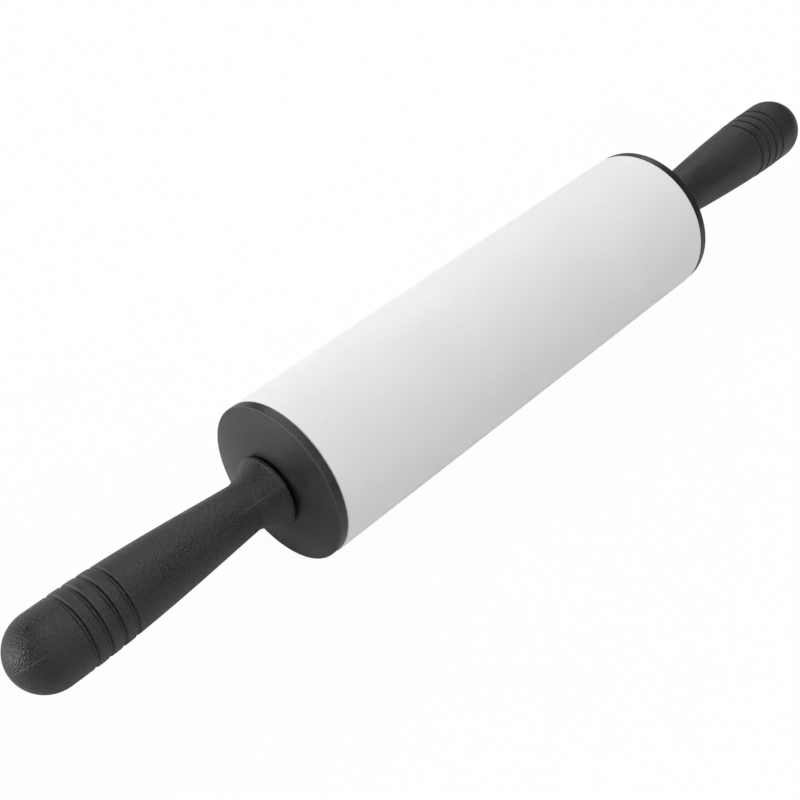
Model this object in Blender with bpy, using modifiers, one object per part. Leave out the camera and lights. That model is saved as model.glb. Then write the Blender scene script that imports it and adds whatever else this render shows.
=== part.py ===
"""Rolling pin with a white silicone barrel that spins on a steel axle between two black handles.

The pin lies along X with the barrel on the table: +Z is up, the origin is on the table
under the middle of the barrel, and the left end is at -X. A piece at an end of the barrel
is drawn with its own +Z pointing out of the pin and its own zero at the sleeve's end, so
that the same mesh serves both ends. All sizes are in metres.
"""

import math

import bmesh
import bpy

# Clearances
SEAT_GAP = 0.0003  # between two pieces that sit on each other
RUNNING_GAP = 0.0001  # round the axle, inside a bush
AXIAL_PLAY = 0.00025  # on each face of a thrust washer

# Barrel
BARREL_RADIUS = 0.0286
SLEEVE_LENGTH = 0.1928
SLEEVE_WALL = 0.0036
SLEEVE_EDGE = 0.0005
TUBE_WALL = 0.0022
TUBE_CHAMFER = 0.0004

# End cap
CAP_INSET = 0.0002  # how far the rim lies under the sleeve's surface
CAP_RIM_WIDTH = 0.00325
CAP_RIM_EDGE = 0.0005
CAP_DOME_RISE = 0.0039
CAP_FACE_WALL = 0.0028
SPIGOT_LENGTH = 0.014
SPIGOT_WALL = 0.0022
SPIGOT_CHAMFER = 0.0008
CRUSH_RIB_COUNT = 10
CRUSH_RIB_RADIUS = 0.0009
CRUSH_RIB_HEIGHT = 0.0003
HUB_WALL = 0.0024
HUB_LENGTH = 0.0125  # how far the hub reaches into the barrel
CAP_WEB_COUNT = 8
CAP_WEB_WIDTH = 0.0016
CAP_WEB_DEPTH = 0.009  # how far the webs reach into the barrel

# Bush
BUSH_WALL = 0.0021
BUSH_FLANGE_WIDTH = 0.0012  # how far the flange stands out past the stem
BUSH_FLANGE_THICKNESS = 0.0012
BUSH_SINK = 0.00085  # how far the flange lies under the top of the cap's dome
BUSH_LENGTH = 0.016
BUSH_CHAMFER = 0.0004

# Axle rod
ROD_RADIUS = 0.00475
ROD_CHAMFER = 0.0003
THREAD_RADIUS = 0.004
THREAD_LENGTH = 0.030
THREAD_CHAMFER = 0.0008
RELIEF_WIDTH = 0.0014
RELIEF_DEPTH = 0.0007

# Thrust washer
WASHER_THICKNESS = 0.0006
WASHER_WIDTH = 0.0029  # from its bore to its rim

# Threaded insert
INSERT_LENGTH = 0.018
INSERT_WALL = 0.0011
INSERT_RECESS = 0.0003
KNURL_HEIGHT = 0.0005
KNURL_VALLEY = 0.0001  # how far the valleys between the teeth stay above the body
KNURL_TEETH = 20
KNURL_BAND_LENGTH = 0.0065
KNURL_BAND_MARGIN = 0.0012  # from each end of the insert

# Handle
HANDLE_LENGTH = 0.0987
FLANGE_RADIUS = 0.0128
FLANGE_WIDTH = 0.0016
FLANGE_EDGE = 0.0005
NECK_RADIUS = 0.00845
NECK_PLACE = 0.0102  # from the handle's base
FLARE_POWER = 1.35  # 1 is a cone, and more is a deeper trumpet
BULB_RADIUS = 0.0126
BULB_TO_TIP = 0.0168  # where the swelling ends, from the tip
SWELL_POWER = 1.05
GROOVE_COUNT = 4
GROOVE_PITCH = 0.0051
GROOVE_WIDTH = 0.0016
GROOVE_DEPTH = 0.00075
GROOVE_TO_TIP = 0.0211  # from the last groove to the tip
BAND_CROWN = 0.00025  # how far the bands between the grooves swell
BORE_END_CLEARANCE = 0.002  # past the end of the thread
BORE_CONE_LENGTH = 0.002

# Facets round each turned piece, and steps along its curves
SLEEVE_SIDES = 64  # a multiple of four, so that a flat facet faces straight down
CAP_SIDES = 40  # a multiple of the webs and of the crush ribs, which then all meet the facets alike
HANDLE_SIDES = 32
SMALL_SIDES = 24
EDGE_STEPS = 2
DOME_STEPS = 5
FLARE_STEPS = 5
SWELL_STEPS = 8
TIP_STEPS = 7

# Radii and places that follow from the sizes above
TUBE_RADIUS = BARREL_RADIUS - SLEEVE_WALL - SEAT_GAP
TUBE_BORE = TUBE_RADIUS - TUBE_WALL
RIM_RADIUS = BARREL_RADIUS - CAP_INSET
SPIGOT_RADIUS = TUBE_BORE - SEAT_GAP - CRUSH_RIB_HEIGHT
SPIGOT_BORE = SPIGOT_RADIUS - SPIGOT_WALL
BUSH_BORE = ROD_RADIUS + RUNNING_GAP
BUSH_RADIUS = BUSH_BORE + BUSH_WALL
BUSH_FLANGE_RADIUS = BUSH_RADIUS + BUSH_FLANGE_WIDTH
HUB_BORE = BUSH_RADIUS + SEAT_GAP
HUB_RADIUS = HUB_BORE + HUB_WALL
BUSH_RECESS_RADIUS = BUSH_FLANGE_RADIUS + SEAT_GAP
CAP_FACE = CAP_RIM_WIDTH + CAP_DOME_RISE
BUSH_TOP = CAP_FACE - BUSH_SINK
BUSH_SEAT = BUSH_TOP - BUSH_FLANGE_THICKNESS
WASHER_BORE = ROD_RADIUS + SEAT_GAP
WASHER_RADIUS = WASHER_BORE + WASHER_WIDTH
WASHER_SEAT = BUSH_TOP + AXIAL_PLAY
HANDLE_BASE = WASHER_SEAT + WASHER_THICKNESS + AXIAL_PLAY
HANDLE_TIP = HANDLE_BASE + HANDLE_LENGTH
INSERT_FACE = HANDLE_BASE + INSERT_RECESS
INSERT_BORE = THREAD_RADIUS + SEAT_GAP
INSERT_RADIUS = INSERT_BORE + INSERT_WALL
KNURL_RADIUS = INSERT_RADIUS + KNURL_HEIGHT
SHOULDER = INSERT_FACE - SEAT_GAP
ROD_END = SHOULDER + THREAD_LENGTH
AXIS_HEIGHT = BARREL_RADIUS * math.cos(math.pi / SLEEVE_SIDES)


def clear_scene():
    for old in list(bpy.data.objects):
        bpy.data.objects.remove(old)


def new_collection(name):
    collection = bpy.data.collections.new(name)
    bpy.context.scene.collection.children.link(collection)
    return collection


def material(name, colour, roughness, metallic=0.0):
    """A plain finish: a linear colour, its roughness, and whether it is a metal."""
    finish = bpy.data.materials.new(name)
    finish.use_nodes = True
    shader = finish.node_tree.nodes["Principled BSDF"]
    shader.inputs["Base Color"].default_value = (*colour, 1.0)
    shader.inputs["Roughness"].default_value = roughness
    shader.inputs["Metallic"].default_value = metallic
    return finish


def arc(radius, height, size, start, end, steps):
    """Points of a circle's arc round (radius, height), from one angle in degrees to another."""
    angles = [math.radians(start + (end - start) * i / steps) for i in range(steps + 1)]
    return [(radius + size * math.cos(a), height + size * math.sin(a)) for a in angles]


def frozen(shape):
    """The shape with its modifiers applied, shaded smooth except at its sharp edges."""
    sharp_edge = math.radians(35)
    bpy.context.view_layer.update()
    graph = bpy.context.evaluated_depsgraph_get()
    mesh = bpy.data.meshes.new_from_object(shape.evaluated_get(graph))
    shape.modifiers.clear()
    shape.data = mesh
    mesh.shade_smooth()
    mesh.set_sharp_from_angle(angle=sharp_edge)
    return shape


def link_temporary(name, mesh):
    shape = bpy.data.objects.new(name, mesh)
    bpy.context.scene.collection.objects.link(shape)
    return shape


def mesh_of(shape):
    """The mesh of a temporary object, which isn't needed afterwards."""
    mesh = shape.data
    bpy.data.objects.remove(shape)
    return mesh


def turned(name, profile, sides, closed):
    """A solid turned round Z from points (radius, height) that run down its outer side.

    A closed profile makes a ring. An open one starts and ends on the axis.
    """
    count = len(profile)
    edges = [(i, i + 1) for i in range(count - 1)]
    if closed:
        edges.append((count - 1, 0))
    mesh = bpy.data.meshes.new(name)
    mesh.from_pydata([(radius, 0.0, height) for radius, height in profile], edges, [])
    shape = link_temporary(name, mesh)
    screw = shape.modifiers.new("Turn", "SCREW")
    screw.axis = "Z"
    screw.angle = 2 * math.pi
    screw.steps = sides
    screw.render_steps = sides
    screw.use_merge_vertices = True
    screw.merge_threshold = 0.00001
    return frozen(shape)


def cylinder(name, radius, low, high, sides):
    tool = bmesh.new()
    bmesh.ops.create_cone(
        tool, cap_ends=True, segments=sides, radius1=radius, radius2=radius, depth=high - low
    )
    bmesh.ops.translate(tool, vec=(0.0, 0.0, (low + high) / 2), verts=tool.verts)
    mesh = bpy.data.meshes.new(name)
    tool.to_mesh(mesh)
    tool.free()
    return link_temporary(name, mesh)


def combined(shape, tool, operation):
    """The shape joined with a tool, or cut by it. The tool isn't needed afterwards."""
    boolean = shape.modifiers.new("Boolean", "BOOLEAN")
    boolean.operation = operation
    boolean.object = tool
    frozen(shape)
    bpy.data.objects.remove(tool)
    return shape


def spaced_round(name, build_one, count):
    """Copies of a small shape at equal steps round Z, in one object. build_one adds one to a bmesh."""
    ring = bmesh.new()
    for i in range(count):
        before = set(ring.verts)
        build_one(ring)
        added = [v for v in ring.verts if v not in before]
        turn = math.tau * i / count
        cosine, sine = math.cos(turn), math.sin(turn)
        for v in added:
            x, y = v.co.x, v.co.y
            v.co.x = x * cosine - y * sine
            v.co.y = x * sine + y * cosine
    mesh = bpy.data.meshes.new(name)
    ring.to_mesh(mesh)
    ring.free()
    return link_temporary(name, mesh)


def sleeve_mesh():
    """The moulded silicone tube, with its outer edges rounded."""
    half = SLEEVE_LENGTH / 2
    bore = BARREL_RADIUS - SLEEVE_WALL
    corner = BARREL_RADIUS - SLEEVE_EDGE
    profile = [(bore, half)]
    profile += arc(corner, half - SLEEVE_EDGE, SLEEVE_EDGE, 90, 0, EDGE_STEPS)
    profile += arc(corner, SLEEVE_EDGE - half, SLEEVE_EDGE, 0, -90, EDGE_STEPS)
    profile += [(bore, -half)]
    return mesh_of(turned("sleeve", profile, SLEEVE_SIDES, closed=True))


def tube_mesh():
    """The aluminium tube that the sleeve is stretched over, with its ends broken inside and out."""
    half = SLEEVE_LENGTH / 2
    chamfer = TUBE_CHAMFER
    profile = [
        (TUBE_BORE + chamfer, half),
        (TUBE_RADIUS - chamfer, half),
        (TUBE_RADIUS, half - chamfer),
        (TUBE_RADIUS, chamfer - half),
        (TUBE_RADIUS - chamfer, -half),
        (TUBE_BORE + chamfer, -half),
        (TUBE_BORE, chamfer - half),
        (TUBE_BORE, half - chamfer),
    ]
    return mesh_of(turned("tube", profile, CAP_SIDES, closed=True))


def dome_height(radius):
    """The cap's outer face: a paraboloid that meets the rim at its full width."""
    return CAP_RIM_WIDTH + CAP_DOME_RISE * (1 - (radius / RIM_RADIUS) ** 2)


def cap_body():
    """The cap's turned form: domed face, rounded rim, spigot, open pocket, hub and bush seat."""
    recess_floor = BUSH_SEAT - SEAT_GAP
    edge_start = RIM_RADIUS - CAP_RIM_EDGE
    edge_centre = dome_height(edge_start) - CAP_RIM_EDGE
    profile = [
        (HUB_BORE, -HUB_LENGTH),
        (HUB_BORE, recess_floor),
        (BUSH_RECESS_RADIUS, recess_floor),
    ]
    for i in range(DOME_STEPS):
        radius = BUSH_RECESS_RADIUS + (edge_start - BUSH_RECESS_RADIUS) * i / DOME_STEPS
        profile.append((radius, dome_height(radius)))
    profile += arc(edge_start, edge_centre, CAP_RIM_EDGE, 90, 0, 2 * EDGE_STEPS)
    profile += [
        (RIM_RADIUS, SEAT_GAP),
        (SPIGOT_RADIUS, SEAT_GAP),
        (SPIGOT_RADIUS, SPIGOT_CHAMFER - SPIGOT_LENGTH),
        (SPIGOT_RADIUS - SPIGOT_CHAMFER, -SPIGOT_LENGTH),
        (SPIGOT_BORE, -SPIGOT_LENGTH),
    ]
    for i in range(DOME_STEPS):
        radius = SPIGOT_BORE + (HUB_RADIUS - SPIGOT_BORE) * i / (DOME_STEPS - 1)
        profile.append((radius, dome_height(radius) - CAP_FACE_WALL))
    profile.append((HUB_RADIUS, -HUB_LENGTH))
    return turned("cap", profile, CAP_SIDES, closed=True)


def add_web(ring):
    """One straight web from the hub to the spigot, sunk into both and into the face's wall."""
    inner = HUB_RADIUS - HUB_WALL / 2
    outer = SPIGOT_BORE + SPIGOT_WALL / 2
    top = dome_height(outer) - CAP_FACE_WALL / 4
    low = -CAP_WEB_DEPTH
    made = bmesh.ops.create_cube(ring, size=1.0)["verts"]
    bmesh.ops.scale(ring, vec=(outer - inner, CAP_WEB_WIDTH, top - low), verts=made)
    bmesh.ops.translate(ring, vec=((outer + inner) / 2, 0.0, (top + low) / 2), verts=made)


def add_crush_rib(ring):
    """One half-round rib along the spigot, which bites into the tube when the cap is pressed in."""
    low = 2 * SPIGOT_CHAMFER - SPIGOT_LENGTH
    high = SEAT_GAP + CAP_RIM_WIDTH / 2
    made = bmesh.ops.create_cone(
        ring,
        cap_ends=True,
        segments=10,
        radius1=CRUSH_RIB_RADIUS,
        radius2=CRUSH_RIB_RADIUS,
        depth=high - low,
    )["verts"]
    centre = SPIGOT_RADIUS + CRUSH_RIB_HEIGHT - CRUSH_RIB_RADIUS
    bmesh.ops.translate(ring, vec=(centre, 0.0, (low + high) / 2), verts=made)


def cap_mesh():
    """The moulded end cap, with its webs and crush ribs joined to the turned form."""
    cap = cap_body()
    webs = spaced_round("webs", add_web, CAP_WEB_COUNT)
    ribs = spaced_round("crush_ribs", add_crush_rib, CRUSH_RIB_COUNT)
    combined(cap, webs, "UNION")
    return mesh_of(combined(cap, ribs, "UNION"))


def bush_mesh():
    """The flanged plain bearing that the axle turns in."""
    stem_end = BUSH_SEAT - BUSH_LENGTH
    chamfer = BUSH_CHAMFER
    profile = [
        (BUSH_BORE + chamfer, BUSH_TOP),
        (BUSH_FLANGE_RADIUS - chamfer, BUSH_TOP),
        (BUSH_FLANGE_RADIUS, BUSH_TOP - chamfer),
        (BUSH_FLANGE_RADIUS, BUSH_SEAT),
        (BUSH_RADIUS, BUSH_SEAT),
        (BUSH_RADIUS, stem_end + chamfer),
        (BUSH_RADIUS - chamfer, stem_end),
        (BUSH_BORE, stem_end),
        (BUSH_BORE, BUSH_TOP - chamfer),
    ]
    return mesh_of(turned("bush", profile, SMALL_SIDES, closed=True))


def washer_mesh():
    profile = [
        (WASHER_BORE, WASHER_SEAT + WASHER_THICKNESS),
        (WASHER_RADIUS, WASHER_SEAT + WASHER_THICKNESS),
        (WASHER_RADIUS, WASHER_SEAT),
        (WASHER_BORE, WASHER_SEAT),
    ]
    return mesh_of(turned("washer", profile, SMALL_SIDES, closed=True))


def rod_end_profile():
    """One end of the rod from its tip to its shoulder: threaded stub, relief groove and shoulder."""
    root = THREAD_RADIUS - RELIEF_DEPTH
    return [
        (0.0, ROD_END),
        (THREAD_RADIUS - THREAD_CHAMFER, ROD_END),
        (THREAD_RADIUS, ROD_END - THREAD_CHAMFER),
        (THREAD_RADIUS, SHOULDER + RELIEF_WIDTH + RELIEF_DEPTH),
        (root, SHOULDER + RELIEF_WIDTH),
        (root, SHOULDER),
        (ROD_RADIUS - ROD_CHAMFER, SHOULDER),
        (ROD_RADIUS, SHOULDER - ROD_CHAMFER),
    ]


def rod_mesh():
    """The steel rod, drawn from the barrel's middle, so its ends lie past half the sleeve."""
    half = SLEEVE_LENGTH / 2
    top = [(radius, height + half) for radius, height in rod_end_profile()]
    bottom = [(radius, -height) for radius, height in reversed(top)]
    return mesh_of(turned("rod", top + bottom, SMALL_SIDES, closed=False))


def knurled_band(low, high):
    """A cylinder whose rim zigzags into teeth, to be joined to the insert's body."""
    band = cylinder("knurl", KNURL_RADIUS, low, high, 2 * KNURL_TEETH)
    valley_share = (INSERT_RADIUS + KNURL_VALLEY) / KNURL_RADIUS
    for vertex in band.data.vertices:
        turn = math.atan2(vertex.co.y, vertex.co.x)
        place = round(turn / math.tau * 2 * KNURL_TEETH)
        if place % 2:
            vertex.co.x *= valley_share
            vertex.co.y *= valley_share
    return band


def insert_mesh():
    """The brass insert moulded into the handle: a bored body with two knurled bands."""
    top = INSERT_FACE + INSERT_LENGTH
    first = INSERT_FACE + KNURL_BAND_MARGIN
    second = top - KNURL_BAND_MARGIN - KNURL_BAND_LENGTH
    insert = cylinder("insert", INSERT_RADIUS, INSERT_FACE, top, SMALL_SIDES)
    for low in (first, second):
        combined(insert, knurled_band(low, low + KNURL_BAND_LENGTH), "UNION")
    past = SEAT_GAP
    bore = cylinder("bore", INSERT_BORE, INSERT_FACE - past, top + past, SMALL_SIDES)
    return mesh_of(combined(insert, bore, "DIFFERENCE"))


def grip_radius(place):
    """The handle's plain radius at a distance from its base, with no grooves.

    From the flange to the neck the excess over the neck falls as a power of the way left.
    From the neck to the bulb it rises along a quarter of a sine wave.
    """
    if place < NECK_PLACE:
        left = (NECK_PLACE - place) / (NECK_PLACE - FLANGE_WIDTH)
        return NECK_RADIUS + (FLANGE_RADIUS - FLANGE_EDGE - NECK_RADIUS) * left**FLARE_POWER
    bulb_place = HANDLE_LENGTH - BULB_TO_TIP
    way = min(1.0, (place - NECK_PLACE) / (bulb_place - NECK_PLACE))
    return NECK_RADIUS + (BULB_RADIUS - NECK_RADIUS) * math.sin(math.pi / 2 * way**SWELL_POWER)


def groove_places():
    """The middle of each grip groove, from the handle's base, nearest the base first."""
    last = HANDLE_LENGTH - GROOVE_TO_TIP
    return [last - GROOVE_PITCH * i for i in reversed(range(GROOVE_COUNT))]


def flare_points():
    """From the rounded flange to the neck."""
    corner = FLANGE_RADIUS - FLANGE_EDGE
    points = arc(corner, FLANGE_EDGE, FLANGE_EDGE, -90, 0, EDGE_STEPS)
    points += arc(corner, FLANGE_WIDTH - FLANGE_EDGE, FLANGE_EDGE, 0, 90, EDGE_STEPS)
    for i in range(1, FLARE_STEPS + 1):
        place = FLANGE_WIDTH + (NECK_PLACE - FLANGE_WIDTH) * i / FLARE_STEPS
        points.append((grip_radius(place), place))
    return points


def swell_points():
    """From the neck to the first groove."""
    end = groove_places()[0] - GROOVE_WIDTH / 2
    places = [NECK_PLACE + (end - NECK_PLACE) * i / SWELL_STEPS for i in range(1, SWELL_STEPS)]
    return [(grip_radius(place), place) for place in places]


def groove_points():
    """The V-shaped grooves, with a slight crown on each band between two of them."""
    points = []
    places = groove_places()
    for i, middle in enumerate(places):
        if i:
            band = middle - GROOVE_PITCH / 2
            points.append((grip_radius(band) + BAND_CROWN, band))
        for offset, depth in ((-0.5, 0.0), (0.0, GROOVE_DEPTH), (0.5, 0.0)):
            place = middle + offset * GROOVE_WIDTH
            points.append((grip_radius(place) - depth, place))
    return points


def bore_points():
    """The stepped blind hole, from the flange inwards: the insert's seat, then the thread's."""
    seat = KNURL_RADIUS + SEAT_GAP
    seat_end = INSERT_RECESS + INSERT_LENGTH + SEAT_GAP
    bore = THREAD_RADIUS + SEAT_GAP
    bore_end = ROD_END - HANDLE_BASE + BORE_END_CLEARANCE
    return [
        (seat, 0.0),
        (seat, seat_end),
        (bore, seat_end),
        (bore, bore_end - BORE_CONE_LENGTH),
        (0.0, bore_end),
    ]


def handle_mesh():
    """The moulded handle: flared flange, slim neck, swelling grip with grooves, and round end."""
    outside = flare_points() + swell_points() + groove_points()
    outside += arc(0.0, HANDLE_LENGTH - BULB_RADIUS, BULB_RADIUS, 0, 90, TIP_STEPS)[:-1]
    outside.append((0.0, HANDLE_LENGTH))
    profile = list(reversed(outside)) + bore_points()
    placed = [(radius, place + HANDLE_BASE) for radius, place in profile]
    return mesh_of(turned("handle", placed, HANDLE_SIDES, closed=False))


def new_axis(name, collection):
    """An empty on the pin's axis. Everything that turns together hangs on one of these."""
    empty = bpy.data.objects.new(name, None)
    empty.location = (0.0, 0.0, AXIS_HEIGHT)
    empty.empty_display_size = BARREL_RADIUS
    collection.objects.link(empty)
    return empty


def place(piece, finish, parent, collection):
    """Gives a new piece its finish and hangs it on its axis."""
    if not piece.data.materials:
        piece.data.materials.append(finish)
    piece.parent = parent
    collection.objects.link(piece)


def place_middle(name, mesh, finish, parent, collection, turn=0.0):
    """A piece along the whole barrel, turned about its own axis and then laid along X."""
    piece = bpy.data.objects.new(name, mesh)
    piece.rotation_mode = "ZYX"
    piece.rotation_euler = (0.0, math.pi / 2, turn)
    place(piece, finish, parent, collection)


def place_ends(name, mesh, finish, parent, collection):
    """The same piece at both ends, each pointing out of the pin."""
    for side, word in ((-1, "left"), (1, "right")):
        piece = bpy.data.objects.new(f"{word}_{name}", mesh)
        piece.location = (side * SLEEVE_LENGTH / 2, 0.0, 0.0)
        piece.rotation_euler = (0.0, side * math.pi / 2, 0.0)
        place(piece, finish, parent, collection)


def build_barrel(pin, polymer):
    """What spins on the axle and rolls on the dough."""
    silicone = material("white silicone", (0.73, 0.73, 0.71), 0.55)
    aluminium = material("extruded aluminium", (0.62, 0.63, 0.64), 0.35, 1.0)
    acetal = material("natural acetal", (0.80, 0.79, 0.74), 0.35)
    axis = new_axis("barrel_axis", pin)
    half_facet = math.pi / SLEEVE_SIDES  # so that a flat facet, not an edge, faces down
    place_middle("silicone_sleeve", sleeve_mesh(), silicone, axis, pin, half_facet)
    place_middle("core_tube", tube_mesh(), aluminium, axis, pin)
    place_ends("end_cap", cap_mesh(), polymer, axis, pin)
    place_ends("bush", bush_mesh(), acetal, axis, pin)


def build_axle(pin, polymer):
    """What the cook's hands hold still: the rod with a handle screwed on each end."""
    steel = material("bright steel", (0.55, 0.55, 0.56), 0.25, 1.0)
    nylon = material("nylon", (0.70, 0.68, 0.60), 0.45)
    brass = material("brass", (0.70, 0.50, 0.22), 0.30, 1.0)
    axis = new_axis("axle_axis", pin)
    place_middle("axle_rod", rod_mesh(), steel, axis, pin)
    place_ends("thrust_washer", washer_mesh(), nylon, axis, pin)
    place_ends("threaded_insert", insert_mesh(), brass, axis, pin)
    place_ends("handle", handle_mesh(), polymer, axis, pin)


def build():
    clear_scene()
    pin = new_collection("rolling_pin")
    polymer = material("black moulded polypropylene", (0.028, 0.028, 0.029), 0.42)
    build_barrel(pin, polymer)
    build_axle(pin, polymer)


build()
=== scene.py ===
# %% [markdown]
# # A silicone rolling pin
#
# A pastry roller: a white silicone barrel between two black moulded handles. The barrel spins on
# a steel rod that runs through the whole pin, and the handles are screwed onto the rod's ends.
#
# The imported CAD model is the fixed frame. It holds the real sizes, and each thing made here rides
# on one of its two bodies, the barrel or the axle. The pin lies along X, with the barrel on the
# table, +Z up, and the origin on the table under the barrel's middle.

# %% The frame
import math

import bpy
import numpy as np
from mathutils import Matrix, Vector


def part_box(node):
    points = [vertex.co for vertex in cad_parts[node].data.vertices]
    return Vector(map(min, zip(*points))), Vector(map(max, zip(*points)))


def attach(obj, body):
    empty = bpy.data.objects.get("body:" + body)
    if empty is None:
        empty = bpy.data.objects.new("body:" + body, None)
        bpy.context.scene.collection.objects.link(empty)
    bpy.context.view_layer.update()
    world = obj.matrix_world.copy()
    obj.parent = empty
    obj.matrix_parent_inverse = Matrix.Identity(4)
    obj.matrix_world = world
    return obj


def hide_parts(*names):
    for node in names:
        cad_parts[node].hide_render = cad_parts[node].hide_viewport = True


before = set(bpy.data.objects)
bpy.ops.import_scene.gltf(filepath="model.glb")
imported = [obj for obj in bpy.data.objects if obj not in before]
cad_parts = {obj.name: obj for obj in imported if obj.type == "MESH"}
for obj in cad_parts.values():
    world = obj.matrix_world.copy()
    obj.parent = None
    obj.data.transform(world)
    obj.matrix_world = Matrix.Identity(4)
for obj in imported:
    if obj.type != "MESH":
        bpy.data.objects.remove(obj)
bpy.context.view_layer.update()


def in_scene(name, data):
    """A new object that shows this data, linked into the scene."""
    thing = bpy.data.objects.new(name, data)
    bpy.context.scene.collection.objects.link(thing)
    return thing


# %% [markdown]
# ## The camera
#
# The photograph was taken from above the left end, with a long lens. Where the camera stood was
# worked out from the outlines of the barrel and of its two caps, which fit only one place, turn
# and lens at a time. It looks 42 degrees down and has no roll, because the pin lies on a table.

# %% The camera
CAMERA_PLACE = (-0.3097, -0.2473, 0.3528)  # m
CAMERA_DOWN = 41.84  # degrees below the horizon
CAMERA_TURN = -47.25  # degrees from looking along +Y
CAMERA_LENS = 64.55  # mm
SENSOR_WIDTH = 36.0  # mm
NEAR_CAP = (-0.1, 0.0, 0.03)  # m

camera_data = bpy.data.cameras.new("camera")
camera_data.lens = CAMERA_LENS
camera_data.sensor_width = SENSOR_WIDTH
camera_data.clip_start = 0.01
camera = in_scene("camera", camera_data)
camera.location = CAMERA_PLACE
camera.rotation_euler = (math.radians(90 - CAMERA_DOWN), 0.0, math.radians(CAMERA_TURN))
bpy.context.scene.camera = camera
print("camera distance to the near cap in m:", round(math.dist(CAMERA_PLACE, NEAR_CAP), 3))

# %% [markdown]
# ## Shared measures
#
# The pin's sizes are in millimetres and are those of the CAD source. A piece at an end of the
# barrel is described by its radius and its place. The place is 0 at the sleeve's end and grows out
# of the pin. The axis height comes from the frame: it is the middle of the rod.

# %% Shared measures
MM = 0.001
SLEEVE_LENGTH = 192.8
rod_low, rod_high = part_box("axle_rod")
AXIS_HEIGHT = (rod_low.z + rod_high.z) / 2
print("axis height in mm:", round(AXIS_HEIGHT / MM, 2))

# %% [markdown]
# ## Turned surfaces
#
# Every outer piece of this pin is round, so each is an outline carried round the axis. That is a
# grid: one row for each point of the outline and one column for each angle. A Screw modifier
# could turn an outline too, but a grid lets a relief change the radius from angle to angle, as
# the handles' parting lines need. Numpy works out the whole grid at once, and the faces are the
# grid's own cells.

# %% A grid of points made a closed solid
SHARP_ANGLE = math.radians(40)


def shade(mesh):
    """Smooth shading, with an edge left sharp where its faces meet at a steep angle."""
    mesh.shade_smooth()
    mesh.set_sharp_from_angle(angle=SHARP_ANGLE)


def outward(vertices, faces):
    """The faces, turned over if they point inwards, and the volume in them.

    A face's share of the volume is a sixth of the box product of its first, second and third
    corner, plus the same of its first, third and last. The sum is positive if they face out.
    """
    corner = vertices[faces]
    first, second, third, last = (corner[:, i] for i in range(4))
    volume = np.einsum("ij,ij->", first, np.cross(second, third) + np.cross(third, last)) / 6
    return (faces if volume > 0 else faces[:, ::-1]), abs(volume)


def solid(name, grid, ring):
    """A closed mesh on a grid of points, with a row per point of the outline.

    Columns close up on themselves. On a ring the rows do too. Otherwise the first and the last
    row lie on the axis, and each becomes one vertex with a fan of triangles.
    """
    rows, columns = grid.shape[:2]
    index = np.arange(rows * columns).reshape(rows, columns)
    if not ring:
        index[0] = index[0, 0]
        index[-1] = index[-1, 0]
    here = index if ring else index[:-1]
    above = np.roll(index, -1, axis=0) if ring else index[1:]
    corners = [here, np.roll(here, -1, axis=1), np.roll(above, -1, axis=1), above]
    quads = np.stack(corners, axis=-1).reshape(-1, 4)
    vertices = grid.reshape(-1, 3)
    quads, volume = outward(vertices, quads)
    used, quads = np.unique(quads, return_inverse=True)
    quads = quads.reshape(-1, 4)
    doubled = quads == np.roll(quads, -1, axis=1)
    faces = [face[~same].tolist() for face, same in zip(quads, doubled)]
    mesh = bpy.data.meshes.new(name)
    mesh.from_pydata(vertices[used], [], faces)
    shade(mesh)
    print(f"{name}: {len(faces)} faces, {volume * 1e6:.1f} cm3")
    return mesh


# %% An outline carried round the axis
def full_turn(count):
    """Even angles all the way round: a full turn times 0, 1, 2 and so on over the count."""
    return np.linspace(0.0, math.tau, count, endpoint=False)


def arc(radius, place, size, start, end, steps):
    """Points of a circle round (radius, place), from one angle in degrees to another.

    A point's radius is the centre's plus the size times the angle's cosine, and its place the
    centre's plus the size times its sine. So angle 0 points away from the axis and 90 out of
    the pin.
    """
    angle = np.radians(np.linspace(start, end, steps + 1))
    return np.stack([radius + size * np.cos(angle), place + size * np.sin(angle)], axis=1)


def turned(name, outline, side, angles, ring, relief=None):
    """An outline of (radius, place) in mm, turned round the pin's axis at one end of the barrel.

    x is the side's sign times half the sleeve plus the place, y is the radius times the angle's
    cosine, and z is the axis height plus the radius times its sine. A relief adds to the radius.
    """
    radius, place, angle = np.broadcast_arrays(outline[:, :1], outline[:, 1:], angles[None, :])
    if relief is not None:
        radius = radius + relief(radius, place, angle)
    x = side * (SLEEVE_LENGTH / 2 + place) * MM
    y = radius * MM * np.cos(angle)
    z = radius * MM * np.sin(angle) + AXIS_HEIGHT
    return solid(name, np.stack([x, y, z], axis=-1), ring)


# %% [markdown]
# ## Finishes
#
# A colour is written as the sRGB hex value that a paint chart gives, and one function turns it to
# the linear values that Blender's shaders expect. One function adds a node. An image could give a
# surface its pattern, but noise needs no unwrapping and shows no seam. It reads Object
# coordinates, which are metres here, so a noise scale is one over the size of its grain.

# %% Colour and node helpers
def linear(hex_colour):
    """An sRGB hex value as linear RGBA.

    A dark channel is c / 12.92, and any other ((c + 0.055) / 1.055) to the power 2.4.
    """
    channels = [int(hex_colour[i : i + 2], 16) / 255 for i in (1, 3, 5)]
    return [c / 12.92 if c <= 0.04045 else ((c + 0.055) / 1.055) ** 2.4 for c in channels] + [1.0]


def add(tree, kind, values=(), links=(), **settings):
    """Adds a node: its own settings, plain values for inputs, and outputs that feed inputs."""
    node = tree.nodes.new("ShaderNode" + kind)
    for name, value in settings.items():
        setattr(node, name, value)
    for name, value in dict(values).items():
        node.inputs[name].default_value = value
    for name, output in dict(links).items():
        tree.links.new(output, node.inputs[name])
    return node


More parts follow.
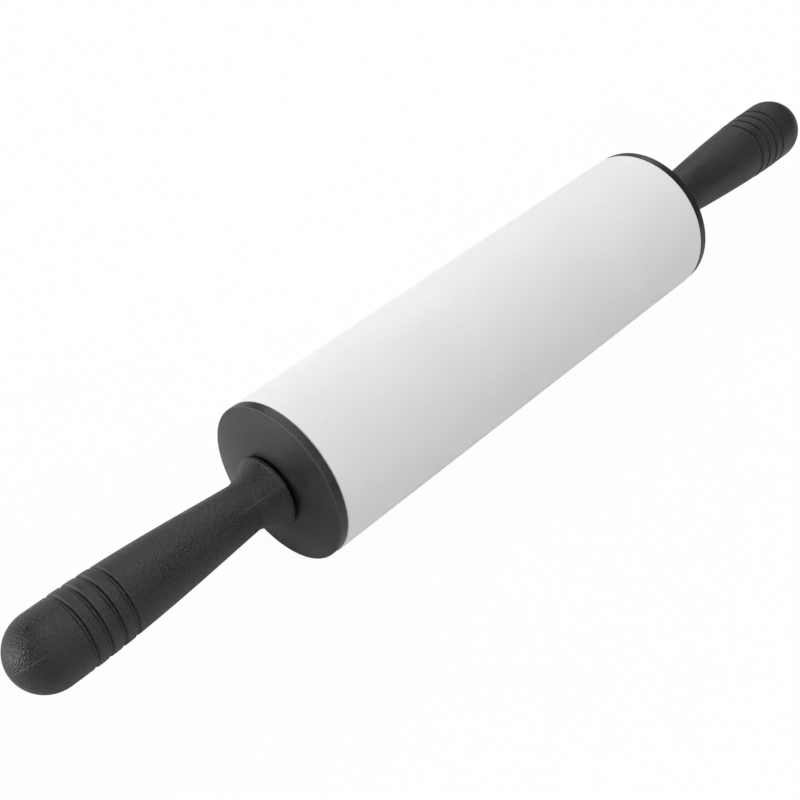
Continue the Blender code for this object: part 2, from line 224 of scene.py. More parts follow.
def finish(name):
    """A new material with its node tree, its Principled shader, and Object coordinates."""
    material = bpy.data.materials.new(name)
    material.use_nodes = True
    tree = material.node_tree
    shader = tree.nodes["Principled BSDF"]
    place = add(tree, "TexCoord").outputs["Object"]
    print("finish:", name)
    return material, tree, shader, place


def grain(mm):
    """The noise scale whose grains are about this many millimetres across."""
    return 1.0 / (mm * MM)


# %% [markdown]
# ## Silicone rubber, compression moulded
#
# The barrel's sleeve is white silicone from a sand-blasted mould. It gives the eye a soft matt
# white with no clear reflection and a skin as fine as writing paper. Real relief that fine would
# take millions of faces, so the skin is bump and a change of roughness. Silicone also draws dust,
# so a few specks show: they lie at the middles of Voronoi cells, which keeps them apart.

# %% Silicone
def moulded_silicone():
    """The sleeve's finish: a faint cloud in its white, specks of dust, and a fine skin."""
    material, tree, shader, place = finish("silicone rubber, compression moulded, matt")
    cloud = add(tree, "TexNoise", {"Scale": grain(30), "Detail": 2}, {"Vector": place})
    white = add(tree, "ValToRGB", links={"Fac": cloud.outputs["Fac"]})
    white.color_ramp.elements[0].position = 0.35
    white.color_ramp.elements[0].color = linear("#EAEAEA")
    white.color_ramp.elements[1].position = 0.65
    white.color_ramp.elements[1].color = linear("#EDEDED")
    cells = add(tree, "TexVoronoi", {"Scale": grain(9), "Randomness": 1.0}, {"Vector": place})
    # A cell is 9 mm wide, so a speck fades out between 0.13 and 0.27 mm from its middle.
    dust = add(
        tree,
        "MapRange",
        {"From Min": 0.014, "From Max": 0.03, "To Min": 0.35, "To Max": 0.0},
        {"Value": cells.outputs["Distance"]},
    )
    colour = add(
        tree,
        "Mix",
        {"B": linear("#8C8A86")},
        {"Factor": dust.outputs["Result"], "A": white.outputs["Color"]},
        data_type="RGBA",
    )
    tree.links.new(colour.outputs["Result"], shader.inputs["Base Color"])
    # The real skin is about 0.1 mm across. It is drawn at 1.2 mm, because a pixel is 0.3 mm.
    skin = add(tree, "TexNoise", {"Scale": grain(1.2), "Detail": 1}, {"Vector": place})
    bump = add(
        tree, "Bump", {"Strength": 1.0, "Distance": 0.12 * MM}, {"Height": skin.outputs["Fac"]}
    )
    tree.links.new(bump.outputs["Normal"], shader.inputs["Normal"])
    rough = add(
        tree, "MapRange", {"To Min": 0.5, "To Max": 0.62}, {"Value": skin.outputs["Fac"]}
    )
    tree.links.new(rough.outputs["Result"], shader.inputs["Roughness"])
    shader.inputs["IOR"].default_value = 1.41
    return material


silicone = moulded_silicone()

# %% [markdown]
# ## Polypropylene, injection moulded
#
# Caps and handles are black polypropylene from a spark-eroded mould. It gives the eye a charcoal
# that is nearly black head on, a satin highlight broken into small flecks by the texture, and a
# pale sheen where the surface turns away. Faint marks show how the plastic flowed, along the
# grips and without a direction on the caps. The real texture is about 0.1 mm fine. It is drawn
# 0.5 mm coarse on the grips and 1.2 mm on the smoother caps, because a pixel is 0.3 mm.
#
# The caps' rims and the grooves' edges get a painted highlight, a lighter grey on the side where
# the light catches them, and the parting lines' crests get a painted glint. That could be painted
# on by hand, but the outlines' sizes already say where the edges are, so each vertex gets a number
# worked out from them.

# %% Polypropylene
PAINTED_HIGHLIGHT = "painted_highlight"  # the name of the mesh attribute that says where a painted highlight lies


def moulded_polymer(name, stretch, spark_mm, relief_mm, spark_share, spread, roughness):
    """The polymer's finish. A stretch below 1 draws the flow marks out along the pin.

    The tone is the spark texture times its share plus the flow marks times the rest. Colour and
    roughness go from one end to the other while the tone goes from 0.5 less the spread to 0.5
    plus the spread. Where a mesh marks a painted highlight, the colour goes towards a lighter grey.
    """
    material, tree, shader, place = finish(name)
    along = add(tree, "Mapping", {"Scale": (stretch, 1.0, 1.0)}, {"Vector": place})
    flow = add(
        tree, "TexNoise", {"Scale": grain(6), "Detail": 2}, {"Vector": along.outputs["Vector"]}
    )
    spark = add(tree, "TexNoise", {"Scale": grain(spark_mm), "Detail": 1}, {"Vector": place})
    tone = add(
        tree,
        "Mix",
        {"Factor": spark_share},
        {"A": flow.outputs["Fac"], "B": spark.outputs["Fac"]},
    ).outputs["Result"]
    low, high = 0.5 - spread, 0.5 + spread
    black = add(tree, "ValToRGB", links={"Fac": tone})
    black.color_ramp.elements[0].position = low
    black.color_ramp.elements[0].color = linear("#121214")
    black.color_ramp.elements[1].position = high
    black.color_ramp.elements[1].color = linear("#282829")
    # Painted highlight: a lighter grey where the mesh marks a lit edge or a parting line's crest.
    painted_highlight = add(tree, "Attribute", attribute_name=PAINTED_HIGHLIGHT)
    colour = add(
        tree,
        "Mix",
        {"B": linear("#5C5C5C")},
        {"Factor": painted_highlight.outputs["Fac"], "A": black.outputs["Color"]},
        data_type="RGBA",
    )
    tree.links.new(colour.outputs["Result"], shader.inputs["Base Color"])
    rough = add(
        tree,
        "MapRange",
        {"From Min": low, "From Max": high, "To Min": roughness[0], "To Max": roughness[1]},
        {"Value": tone},
    )
    tree.links.new(rough.outputs["Result"], shader.inputs["Roughness"])
    bump = add(
        tree,
        "Bump",
        {"Strength": 1.0, "Distance": relief_mm * MM},
        {"Height": spark.outputs["Fac"]},
    )
    tree.links.new(bump.outputs["Normal"], shader.inputs["Normal"])
    shader.inputs["IOR"].default_value = 1.49
    return material


handle_polymer = moulded_polymer(
    "polypropylene, injection moulded, grips",
    stretch=0.3,
    spark_mm=0.5,
    relief_mm=0.3,
    spark_share=0.4,
    spread=0.1,
    roughness=(0.4, 0.6),
)
cap_polymer = moulded_polymer(
    "polypropylene, injection moulded, caps",
    stretch=1.0,
    spark_mm=1.2,
    relief_mm=0.04,
    spark_share=0.5,
    spread=0.25,
    roughness=(0.38, 0.46),
)


# %% Where the polymer gets a painted highlight
def end_places(mesh, side):
    """Each vertex's radius and place in mm and its angle, worked back from its x, y and z."""
    points = np.empty(len(mesh.vertices) * 3)
    mesh.vertices.foreach_get("co", points)
    x, y, z = points.reshape(-1, 3).T
    z = z - AXIS_HEIGHT
    return np.hypot(y, z) / MM, side * x / MM - SLEEVE_LENGTH / 2, np.arctan2(z, y)


def bell(off, width):
    """A bell curve of a distance: e to the power of minus the square of its share of a width."""
    return np.exp(-((off / width) ** 2))


# The angle at which this gives 1 is the side where a painted highlight lies.
def lit_side(angle, turn, power):
    """1 at one angle and 0 opposite it: half of one plus the cosine between, to a power."""
    return (0.5 + 0.5 * np.cos(angle - turn)) ** power


def mark_painted_highlight(mesh, share):
    """Keeps on each vertex how strong its painted highlight is, from 0 to 1."""
    mesh.attributes.new(PAINTED_HIGHLIGHT, "FLOAT", "POINT").data.foreach_set("value", share)
    print("rubbed, at most:", round(float(share.max()), 2))


# %% [markdown]
# ## The sleeve
#
# The sleeve is a plain silicone tube, stretched over an aluminium one. Only its two ends say so:
# a small round edge stands 0.2 mm above the caps and catches the light as a thin bright line. A
# cylinder with a Bevel would do, but as an outline it gets exactly the CAD's edge and bore.

# %% The sleeve
BARREL_RADIUS = 28.6
SLEEVE_BORE = 25.0
SLEEVE_EDGE = 0.5
SLEEVE_COLUMNS = 256


def sleeve_outline():
    """The bore, and a straight outside with a quarter circle at each end."""
    corner = BARREL_RADIUS - SLEEVE_EDGE
    return np.concatenate([
        [(SLEEVE_BORE, 0.0)],
        arc(corner, -SLEEVE_EDGE, SLEEVE_EDGE, 90, 0, steps=6),
        [(BARREL_RADIUS, -SLEEVE_LENGTH / 2)],
        arc(corner, SLEEVE_EDGE - SLEEVE_LENGTH, SLEEVE_EDGE, 0, -90, steps=6),
        [(SLEEVE_BORE, -SLEEVE_LENGTH)],
    ])


def add_piece(name, mesh, material, body, node):
    """Puts a finished mesh in the scene, in the place of a CAD node."""
    mesh.materials.append(material)
    piece = in_scene(name, mesh)
    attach(piece, body)
    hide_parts(node)


sleeve = turned("sleeve", sleeve_outline(), 1, full_turn(SLEEVE_COLUMNS), ring=True)
add_piece("sleeve_skin", sleeve, silicone, "barrel", "silicone_sleeve")

# %% [markdown]
# ## The end caps
#
# Each cap is one moulding. Its face is a shallow dome that rises 3.9 mm from rim to middle, so
# the light on it changes slowly across it, and its rim is rounded. Behind the face a spigot goes
# into the tube, and eight webs join it to the hub that holds the bearing. The turned form is one
# outline. The webs and the crush ribs aren't turned, so they are joined to it with a Boolean,
# which leaves one closed surface, as the real moulding has.

# %% The caps' turned form
RIM_RADIUS = 28.4
RIM_WIDTH = 3.25
RIM_EDGE = 0.5
DOME_RISE = 3.9
FACE_WALL = 2.8
SEAT_GAP = 0.3
SPIGOT_RADIUS = 21.9
SPIGOT_BORE = 19.7
SPIGOT_END = -14.0
SPIGOT_CHAMFER = 0.8
HUB_RADIUS = 9.65
HUB_BORE = 7.25
HUB_END = -12.5
BUSH_RECESS_RADIUS = 8.45
BUSH_RECESS_FLOOR = 4.8


def dome(radius):
    """The face's place: the rim's width plus the rise, times 1 less (radius / rim) squared."""
    return RIM_WIDTH + DOME_RISE * (1 - (radius / RIM_RADIUS) ** 2)


def dome_outline(start, end, drop, points):
    """Points on the dome from one radius to another, a drop below its face."""
    radius = np.linspace(start, end, points)
    return np.stack([radius, dome(radius) - drop], axis=1)


def cap_outline():
    """The bore and the bush's recess, the domed face, the rounded rim, the seat on the sleeve's
    end, the spigot with its chamfer, the underside of the face, and the hub."""
    corner = RIM_RADIUS - RIM_EDGE
    return np.concatenate([
        [(HUB_BORE, HUB_END), (HUB_BORE, BUSH_RECESS_FLOOR)],
        [(BUSH_RECESS_RADIUS, BUSH_RECESS_FLOOR)],
        dome_outline(BUSH_RECESS_RADIUS, corner, drop=0.0, points=30)[:-1],
        arc(corner, dome(corner) - RIM_EDGE, RIM_EDGE, 90, 0, steps=8),
        [(RIM_RADIUS, SEAT_GAP), (SPIGOT_RADIUS, SEAT_GAP)],
        [(SPIGOT_RADIUS, SPIGOT_END + SPIGOT_CHAMFER)],
        [(SPIGOT_RADIUS - SPIGOT_CHAMFER, SPIGOT_END)],
        [(SPIGOT_BORE, SPIGOT_END)],
        dome_outline(SPIGOT_BORE, HUB_RADIUS, drop=FACE_WALL, points=12),
        [(HUB_RADIUS, HUB_END)],
    ])


print("points in a cap's outline:", len(cap_outline()))

# %% Webs and crush ribs
WEB_COUNT = 8
WEB_WIDTH = 1.6
WEB_END = -9.0
RIB_COUNT = 10
RIB_RADIUS = 0.9
RIB_HEIGHT = 0.3
RIB_START = SPIGOT_END + 1.6
RIB_SIDES = 24


def web_section():
    """A rectangle from the middle of the hub's wall to the middle of the spigot's."""
    inner, outer = (HUB_BORE + HUB_RADIUS) / 2, (SPIGOT_BORE + SPIGOT_RADIUS) / 2
    half = WEB_WIDTH / 2
    return np.array([(inner, -half), (outer, -half), (outer, half), (inner, half)])


def rib_section():
    """A circle that stands out of the spigot by the rib's height."""
    centre = SPIGOT_RADIUS + RIB_HEIGHT - RIB_RADIUS
    return arc(centre, 0.0, RIB_RADIUS, 0, 360 - 360 // RIB_SIDES, RIB_SIDES - 1)


def bars(name, side, count, section, low, high):
    """Straight bars along the pin, at equal steps round the axis, between two places.

    The section is a closed outline of (radius, sideways) in mm. A corner's y is the radius times
    the cosine of the bar's angle, less sideways times its sine. Its z is the axis height plus
    the radius times the sine, plus sideways times the cosine.
    """
    turn = full_turn(count)[:, None, None]
    radius, across = section[:, 0], section[:, 1]
    x = side * (SLEEVE_LENGTH / 2 + np.array([low, high])[:, None])
    y = radius * np.cos(turn) - across * np.sin(turn)
    z = radius * np.sin(turn) + across * np.cos(turn) + AXIS_HEIGHT / MM
    grid = np.stack(np.broadcast_arrays(x, y, z), axis=-1) * MM
    index = np.arange(grid[..., 0].size).reshape(grid.shape[:-1])
    start, end = index[:, 0], index[:, 1]
    walls = np.stack([start, np.roll(start, -1, axis=1), np.roll(end, -1, axis=1), end], axis=-1)
    ends = np.stack([start[:, ::-1], end], axis=1)
    faces = [face[::side].tolist() for bar in zip(walls, ends) for part in bar for face in part]
    mesh = bpy.data.meshes.new(name)
    mesh.from_pydata(grid.reshape(-1, 3), [], faces)
    print(f"{name}: {count} bars, {high - low:.1f} mm long")
    return in_scene(name, mesh)


def joined(mesh, tools):
    """The mesh with the tools' solids added, as one closed surface."""
    piece = in_scene("joining", mesh)
    for tool in tools:
        union = piece.modifiers.new("join", "BOOLEAN")
        union.operation = "UNION"
        union.object = tool
    bpy.context.view_layer.update()
    graph = bpy.context.evaluated_depsgraph_get()
    result = bpy.data.meshes.new_from_object(piece.evaluated_get(graph))
    for done in [piece, *tools]:
        bpy.data.objects.remove(done)
    shade(result)
    return result


# %% Both caps
CAP_COLUMNS = 200
CAP_EDGE_HIGHLIGHT = 0.6
CAP_EDGE_WIDTH = 0.2  # mm
CREST = 1 - math.sqrt(0.5)  # how far a round edge's crest lies inside the square corner


def cap_edge_highlight(radius, place, angle, turn):
    """Where the face's outer edge gets a painted highlight: a bell curve of the distance to the
    edge's crest, times how near that angle is to the lit one."""
    off = np.hypot(
        radius - (RIM_RADIUS - RIM_EDGE * CREST),
        place - (dome(RIM_RADIUS - RIM_EDGE) - RIM_EDGE * CREST),
    )
    return CAP_EDGE_HIGHLIGHT * lit_side(angle, turn, 2) * bell(off, CAP_EDGE_WIDTH)


def cap_mesh(side, word, turn):
    """The turned form joined to its webs, which end inside the face, and to its ribs."""
    inside_face = dome((SPIGOT_BORE + SPIGOT_RADIUS) / 2) - FACE_WALL / 4
    webs = bars("webs", side, WEB_COUNT, web_section(), WEB_END, inside_face)
    ribs = bars("ribs", side, RIB_COUNT, rib_section(), RIB_START, RIM_WIDTH / 2)
    body = turned(f"{word}_cap", cap_outline(), side, full_turn(CAP_COLUMNS), ring=True)
    mesh = joined(body, [webs, ribs])
    mark_painted_highlight(mesh, cap_edge_highlight(*end_places(mesh, side), turn))
    print(f"{word}_cap with its webs: {len(mesh.polygons)} faces")
    return mesh


# The angle says round which side of each cap the rim's painted highlight lies.
for side, word, turn in ((-1, "left", math.radians(115)), (1, "right", math.radians(80))):
    mesh = cap_mesh(side, word, turn)
    add_piece(f"{word}_cap", mesh, cap_polymer, "barrel", f"{word}_end_cap")

# %% [markdown]
# ## The handles
#
# A handle is the pin's most shaped piece. From the flange that faces the cap it falls like a
# trumpet to a slim neck, swells slowly towards the palm, and ends in half a ball. Four grooves
# keep the hand from slipping. A lathe of a hand-drawn curve could give it, but here the outline
# is a sum of simple curves, so each of its features keeps a size of its own. A handle's own
# places start at its base. The grooves differ from the CAD's: they have rounded edges, and bands
# with a lower crown between them, as in the photo.
#
# The two halves of the mould leave a fine raised line along the handle, on two opposite sides.
# The line is real relief here, because it catches the light. Its crest also gets a painted
# glint, a paler grey, and the grooves' inner edges get a painted highlight on one side.

# %% The grip's radius
FLANGE_RADIUS = 12.8
FLANGE_WIDTH = 1.6
FLANGE_EDGE = 0.5
NECK_RADIUS = 8.45
NECK_PLACE = 10.2
FLARE_POWER = 1.35
BULB_RADIUS = 12.6
BULB_PLACE = 81.9
SWELL_POWER = 1.05

GROOVE_PLACES = np.array([62.3, 67.4, 72.5, 77.6])
GROOVE_WIDTH = 1.85
GROOVE_DEPTH = 0.68
GROOVE_FLOOR = 0.3  # share of the groove's width
BAND_CROWN = 0.1


def plain_radius(place):
    """The grip's radius without grooves, in mm, at places from the handle's base.

    Before the neck it is the neck plus a power of the way left. After it, it is the neck plus
    the swelling times the sine of a quarter turn taken along a power of the way.
    """
    left = np.clip((NECK_PLACE - place) / (NECK_PLACE - FLANGE_WIDTH), 0, 1)
    way = np.clip((place - NECK_PLACE) / (BULB_PLACE - NECK_PLACE), 0, 1)
    flare = (FLANGE_RADIUS - FLANGE_EDGE - NECK_RADIUS) * left**FLARE_POWER
    swell = (BULB_RADIUS - NECK_RADIUS) * np.sin(math.pi / 2 * way**SWELL_POWER)
    return NECK_RADIUS + flare + swell


def grooved_radius(place):
    """The plain radius, less each groove, plus the crown of each band between two grooves.

    A groove has a flat floor and steep walls with rounded edges: a wall is a smooth step, three
    times the square less twice the cube of the way down it. A crown is a parabola between two
    grooves.
    """
    off = np.abs(place[:, None] - GROOVE_PLACES).min(axis=1) / (GROOVE_WIDTH / 2)
    down = np.clip((1.0 - off) / (1.0 - GROOVE_FLOOR), 0, 1)
    depth = GROOVE_DEPTH * down**2 * (3 - 2 * down)
    between = (place > GROOVE_PLACES[0]) & (place < GROOVE_PLACES[-1])
    pitch = GROOVE_PLACES[1] - GROOVE_PLACES[0]
    phase = (place - GROOVE_PLACES[0]) % pitch / pitch
    crown = BAND_CROWN * 4 * phase * (1 - phase) * between
    return plain_radius(place) - depth + crown


print("neck and bulb radius in mm:", plain_radius(np.array([NECK_PLACE, BULB_PLACE])))

# %% The handle's outline
HANDLE_BASE = 7.4
HANDLE_LENGTH = 98.7
ROD_BORE = 4.3
ROD_BORE_END = 30.0
ROD_BORE_TIP = 32.0
INSERT_BORE = 6.2
INSERT_BORE_END = 18.6
FLARE_ROWS = 24
GRIP_ROWS = 110
BALL_ROWS = 40
GROOVE_ROWS = 28
GROOVE_REACH = 0.55  # of the groove's width, that the groove's own rows go to either side


def handle_outline():
    """The stepped bore, the flange with two rounded edges, the grip, and a quarter circle.

    The grip has even rows, and close ones across each groove, which its rounded edges need.
    """
    corner = FLANGE_RADIUS - FLANGE_EDGE
    ball = HANDLE_LENGTH - BULB_RADIUS
    across = np.linspace(-GROOVE_REACH, GROOVE_REACH, GROOVE_ROWS) * GROOVE_WIDTH
    places = np.unique(np.concatenate([
        np.linspace(FLANGE_WIDTH, NECK_PLACE, FLARE_ROWS)[1:],
        np.linspace(NECK_PLACE, ball, GRIP_ROWS),
        (GROOVE_PLACES[:, None] + across).ravel(),
    ]))
    outline = np.concatenate([
        [(0.0, ROD_BORE_TIP), (ROD_BORE, ROD_BORE_END), (ROD_BORE, INSERT_BORE_END)],
        [(INSERT_BORE, INSERT_BORE_END), (INSERT_BORE, 0.0)],
        arc(corner, FLANGE_EDGE, FLANGE_EDGE, -90, 0, steps=5),
        arc(corner, FLANGE_WIDTH - FLANGE_EDGE, FLANGE_EDGE, 0, 90, steps=5),
        np.stack([grooved_radius(places), places], axis=1),
        arc(0.0, ball, BULB_RADIUS, 0, 90, steps=BALL_ROWS)[1:],
    ])
    outline[-1, 0] = 0.0
    outline[:, 1] += HANDLE_BASE
    return outline


print("points in a handle's outline:", len(handle_outline()))

# %% The parting line
PARTING_HEIGHT = 0.05
PARTING_WIDTH = 0.13
PARTING_WORN = 0.12  # share of the height that is left where the palm rubs
PARTING_RAMP = 6.0  # mm in which the line rises to its full height or falls off again
PARTING_FLARE = (2.0, 13.0)  # where it starts to rise beside the flange, and to fall again
PARTING_TIP = BULB_PLACE + 6.0  # where it starts to rise towards the tip
PARTING_ANGLES = np.radians([0.0, 0.2, 0.45, 0.7, 1.0, 1.4, 2.0, 3.0])  # beside a line
PARTING_GAP = math.radians(0.4)  # the least between an even angle and one of these
TIP_RADIUS = 3.0  # within this radius the line fades out
OUTSIDE_RADIUS = 7.0  # wider than the bore and slimmer than the neck


def parted_turn(count, turn):
    """Even angles, with extra ones close beside both parting lines.

    An even angle that is nearer to an extra one than the parting gap is left out.
    """
    beside = np.unique(np.concatenate([-PARTING_ANGLES, PARTING_ANGLES]))
    extra = np.concatenate([turn + beside, turn + math.pi + beside])
    even = full_turn(count)
    gap = np.abs((even[:, None] - extra + math.pi) % math.tau - math.pi).min(axis=1)
    return np.sort(np.concatenate([even[gap > PARTING_GAP], extra % math.tau]))


def parting_ramp(along, start):
    """0 up to a place on the handle, 1 from the ramp's length past it, and straight between."""
    return np.clip((along - start) / PARTING_RAMP, 0, 1)


def parting_share(radius, place, angle, turn):
    """Where the parting line is, from 0 to 1: along the handle, at one angle and opposite it.

    It falls off as a bell curve of the distance along the surface, radius times angle. It is
    whole on the flare and towards the tip, and worn down between them and beside the flange. It
    fades out towards the axis, and there is none inside the bore.
    """
    off = (angle - turn + math.pi / 2) % math.pi - math.pi / 2
    along = place - HANDLE_BASE
    rise, fall = PARTING_FLARE
    whole = parting_ramp(along, rise) * (1 - parting_ramp(along, fall))
    whole += parting_ramp(along, PARTING_TIP)
    kept = PARTING_WORN + (1 - PARTING_WORN) * whole
    outside = (radius > OUTSIDE_RADIUS) | (along > BULB_PLACE)
    return bell(radius * off, PARTING_WIDTH) * kept * np.clip(radius / TIP_RADIUS, 0, 1) * outside


# %% The grooves' painted edge highlights
GROOVE_EDGE_HIGHLIGHT = 0.6
GROOVE_EDGE_WIDTH = 0.2  # mm
GROOVE_EDGE_PLACE = 0.46  # of the groove's width, from its middle towards the barrel


def groove_edge_highlight(radius, place, angle, turn):
    """Where the grooves' edges get a painted highlight: a bell curve of the distance to the nearest
    edge, times how near that angle is to the lit one. There is none inside the bore."""
    edges = HANDLE_BASE + GROOVE_PLACES - GROOVE_EDGE_PLACE * GROOVE_WIDTH
    off = np.abs(place[:, None] - edges).min(axis=1)
    share = lit_side(angle, turn, 3) * bell(off, GROOVE_EDGE_WIDTH)
    return GROOVE_EDGE_HIGHLIGHT * share * (radius > OUTSIDE_RADIUS)


# %% Both handles
HANDLE_COLUMNS = 180
PARTING_GLINT = 0.7  # how strongly the ridge's crest is painted paler, as a painted glint


def handle_mesh(side, word, turn, lit_turn):
    """The turned outline with its ridge, marked where it gets a painted highlight."""

    def ridge(radius, place, angle):
        return PARTING_HEIGHT * parting_share(radius, place, angle, turn)

    angles = parted_turn(HANDLE_COLUMNS, turn)
    print(f"{word} handle: {len(angles)} angles round the axis")
    mesh = turned(f"{word}_handle", handle_outline(), side, angles, ring=False, relief=ridge)
    places = end_places(mesh, side)
    crest = PARTING_GLINT * parting_share(*places, turn)
    mark_painted_highlight(mesh, np.maximum(crest, groove_edge_highlight(*places, lit_turn)))
    return mesh


# How far each handle turns when it is screwed up tight is chance, so the parting lines differ.
# The last angle says round which side the grooves' edges get their painted highlight.
for side, word, turn, lit_turn in ((-1, "left", 134, 62), (1, "right", 35, 120)):
    mesh = handle_mesh(side, word, math.radians(turn), math.radians(lit_turn))
    add_piece(f"{word}_grip", mesh, handle_polymer, "axle", f"{word}_handle")

# %% [markdown]
# ## Inner pieces
#
# The rod, the tube, the bearings, the washers and the inserts keep their CAD shape, which is
# already as fine as they need, and get a finish of their own. They hardly show, but a cut-away
# or an exploded view brings them out.
#
# Drawn steel gives the eye a clear shine with fine lines along the rod, extruded aluminium a
# softer grey with coarser lines along the tube, and turned brass a warm shine with the lathe's
# rings. Turned acetal looks waxy and off-white, and punched nylon sheet duller and yellower.

# %% Metals and bearing plastics
ALONG = (0.05, 1.0, 1.0)  # stretches a pattern into lines along the pin
ROUND = (1.0, 0.15, 0.15)  # stretches it into rings round the pin


def worked_metal(name, colours, roughness, stretch, grain_mm):
    """A metal with fine lines from how it was worked. The stretch says how they run."""
    material, tree, shader, place = finish(name)
    worked = add(tree, "Mapping", {"Scale": stretch}, {"Vector": place})
    lines = add(
        tree,
        "TexNoise",
        {"Scale": grain(grain_mm), "Detail": 4},
        {"Vector": worked.outputs["Vector"]},
    )
    colour = add(tree, "ValToRGB", links={"Fac": lines.outputs["Fac"]})
    colour.color_ramp.elements[0].color = linear(colours[0])
    colour.color_ramp.elements[1].color = linear(colours[1])
    tree.links.new(colour.outputs["Color"], shader.inputs["Base Color"])
    rough = add(
        tree,
        "MapRange",
        {"To Min": roughness - 0.06, "To Max": roughness + 0.06},
        {"Value": lines.outputs["Fac"]},
    )
    tree.links.new(rough.outputs["Result"], shader.inputs["Roughness"])
    bump = add(
        tree, "Bump", {"Strength": 0.3, "Distance": 0.01 * MM}, {"Height": lines.outputs["Fac"]}
    )
    tree.links.new(bump.outputs["Normal"], shader.inputs["Normal"])
    shader.inputs["Metallic"].default_value = 1.0
    return material


def bearing_plastic(name, colours, roughness, ior):
    """A waxy engineering plastic: a faint cloud in its colour and fine marks from the tool."""
    material, tree, shader, place = finish(name)
    cloud = add(tree, "TexNoise", {"Scale": grain(3), "Detail": 3}, {"Vector": place})
    colour = add(tree, "ValToRGB", links={"Fac": cloud.outputs["Fac"]})
    colour.color_ramp.elements[0].color = linear(colours[0])
    colour.color_ramp.elements[1].color = linear(colours[1])
    tree.links.new(colour.outputs["Color"], shader.inputs["Base Color"])
    marks = add(tree, "TexNoise", {"Scale": grain(0.4), "Detail": 2}, {"Vector": place})
    bump = add(
        tree, "Bump", {"Strength": 0.2, "Distance": 0.01 * MM}, {"Height": marks.outputs["Fac"]}
    )
    tree.links.new(bump.outputs["Normal"], shader.inputs["Normal"])
    shader.inputs["Roughness"].default_value = roughness
    shader.inputs["IOR"].default_value = ior
    return material


steel = worked_metal("carbon steel, bright drawn", ("#B4B5B6", "#CBCCCD"), 0.25, ALONG, 0.5)
aluminium = worked_metal("aluminium, extruded", ("#BDBEC0", "#D2D3D4"), 0.38, ALONG, 0.9)
brass = worked_metal("brass, turned and knurled", ("#B98F45", "#D3AC63"), 0.3, ROUND, 0.5)
acetal = bearing_plastic("acetal, turned, natural", ("#DFDCD2", "#E8E6DD"), 0.35, 1.48)
nylon = bearing_plastic("nylon sheet, punched, natural", ("#D6D2C4", "#E0DCCF"), 0.45, 1.53)

# %% The inner pieces' finishes
inner_finishes = {
    "axle_rod": steel,
    "core_tube": aluminium,
    "left_threaded_insert": brass,
    "right_threaded_insert": brass,
    "left_bush": acetal,
    "right_bush": acetal,
    "left_thrust_washer": nylon,
    "right_thrust_washer": nylon,
}
for node, material in inner_finishes.items():
    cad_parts[node].data.materials.clear()
    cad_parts[node].data.materials.append(material)
print("CAD nodes with a finish:", len(inner_finishes))

# %% [markdown]
# ## Table, light and background
#
# The photograph is a product shot on white. The table is a plain white floor. For the camera it
# is mostly a flat white, so that the background stays white while the pin still lays a soft
# shadow on it. Reflections see the table as it is lit, with a little white added. White laminate
# gives the eye a plain white with hardly any cloud in it.
#
# The light is three large soft boxes, overhead, behind on the right and in front, and two low
# strips, behind on the left and at the back. The strips' light slides along the caps and the
# grips and brings out the grooves, the edges and the texture. The room itself is dim.

# %% The floor
SEEN_WHITE = 0.97  # share of flat white in what the camera sees of the floor
MIRRORED_WHITE = 0.05  # share of flat white in what reflections see of it
FLOOR_HALF = 4.0  # m


def white_table():
    """A lit laminate, mixed with a flat white by the kind of ray that meets it."""
    material, tree, shader, place = finish("white laminate, matt")
    fibre = add(tree, "TexNoise", {"Scale": grain(40), "Detail": 2}, {"Vector": place})
    white = add(tree, "ValToRGB", links={"Fac": fibre.outputs["Fac"]})
    white.color_ramp.elements[0].color = linear("#F0F0F0")
    white.color_ramp.elements[1].color = linear("#F3F3F3")
    tree.links.new(white.outputs["Color"], shader.inputs["Base Color"])
    shader.inputs["Roughness"].default_value = 0.9
    rays = add(tree, "LightPath")
    mirrored = add(
        tree,
        "Math",
        links={0: rays.outputs["Is Glossy Ray"], 1: rays.outputs["Is Transmission Ray"]},
        operation="MAXIMUM",
    )
    mirrored_share = add(
        tree, "Math", {1: MIRRORED_WHITE}, {0: mirrored.outputs[0]}, operation="MULTIPLY"
    )
    share = add(
        tree,
        "Math",
        {1: SEEN_WHITE},
        {0: rays.outputs["Is Camera Ray"], 2: mirrored_share.outputs[0]},
        operation="MULTIPLY_ADD",
    )
    glow = add(tree, "Emission", {"Strength": 1.0})
    mix = add(
        tree,
        "MixShader",
        links={0: share.outputs[0], 1: shader.outputs["BSDF"], 2: glow.outputs["Emission"]},
    )
    tree.links.new(mix.outputs["Shader"], tree.nodes["Material Output"].inputs["Surface"])
    return material


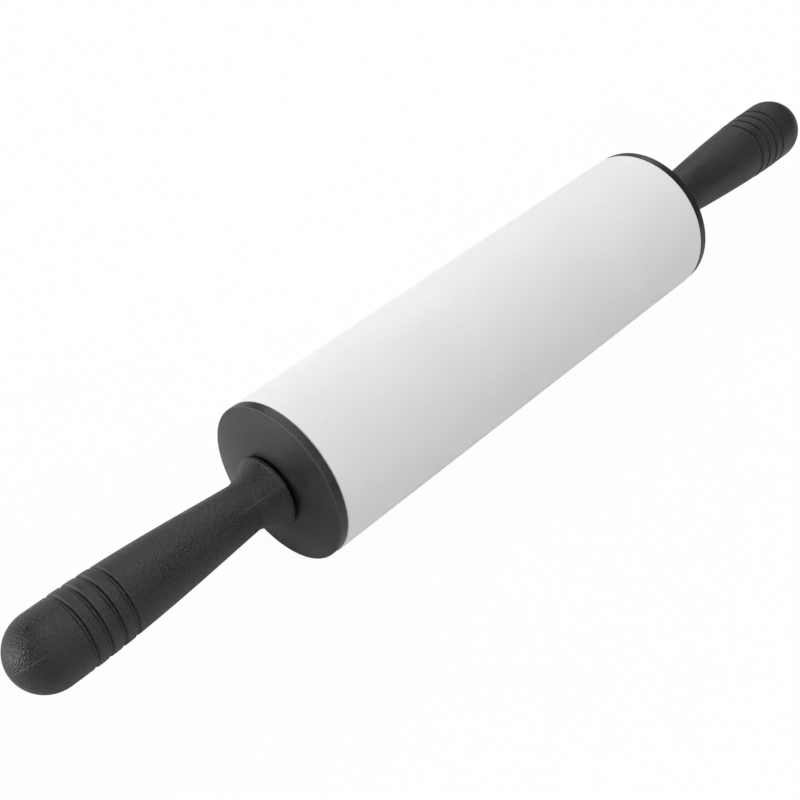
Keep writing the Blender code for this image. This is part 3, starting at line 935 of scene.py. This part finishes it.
floor_corners = FLOOR_HALF * np.array([(-1, -1, 0), (1, -1, 0), (1, 1, 0), (-1, 1, 0)])
floor_mesh = bpy.data.meshes.new("floor")
floor_mesh.from_pydata(floor_corners, [], [(0, 1, 2, 3)])
floor_mesh.materials.append(white_table())
floor = in_scene("floor", floor_mesh)
print("floor side in m:", 2 * FLOOR_HALF)

# %% The world
ROOM_LIGHT = 0.07

world = bpy.data.worlds.new("studio")
world.use_nodes = True
bpy.context.scene.world = world
tree = world.node_tree
ambient = tree.nodes["Background"]
ambient.inputs["Color"].default_value = linear("#FFFFFF")
ambient.inputs["Strength"].default_value = ROOM_LIGHT
backdrop = add(tree, "Background", {"Strength": 1.0, "Color": linear("#FFFFFF")})
rays = add(tree, "LightPath")
mix = add(
    tree,
    "MixShader",
    links={
        0: rays.outputs["Is Camera Ray"],
        1: ambient.outputs["Background"],
        2: backdrop.outputs["Background"],
    },
)
tree.links.new(mix.outputs["Shader"], tree.nodes["World Output"].inputs["Surface"])
print("light from the room:", ROOM_LIGHT)

# %% Soft boxes
LAMP_DISTANCE = 1.5  # m


def soft_box(name, azimuth, elevation, size, power):
    """An area light that faces the origin, at two angles in degrees seen from it.

    The way to it is (cosine of up times cosine of around, cosine of up times sine of around,
    sine of up).
    """
    data = bpy.data.lights.new(name, "AREA")
    data.shape = "RECTANGLE"
    data.size, data.size_y = size
    data.energy = power
    around, up = math.radians(azimuth), math.radians(elevation)
    flat = math.cos(up)
    towards = Vector((flat * math.cos(around), flat * math.sin(around), math.sin(up)))
    lamp = in_scene(name, data)
    lamp.location = LAMP_DISTANCE * towards
    lamp.rotation_euler = towards.to_track_quat("Z", "Y").to_euler()


BOX = (0.9, 0.9)  # m
STRIP = (0.8, 0.3)  # m
soft_box("overhead", 0, 90, BOX, 11.1)
soft_box("back_right", 45, 40, BOX, 6.9)
soft_box("front", 270, 40, BOX, 7.0)
soft_box("left_strip", 150, 5, STRIP, 15.0)
soft_box("back_strip", 90, 5, STRIP, 3.0)
print("soft boxes:", len(bpy.data.lights))

# %% [markdown]
# ## Last lines
#
# The view transform is Standard, so a colour renders about as it is written.

# %% Finish
bpy.context.scene.view_settings.view_transform = "Standard"
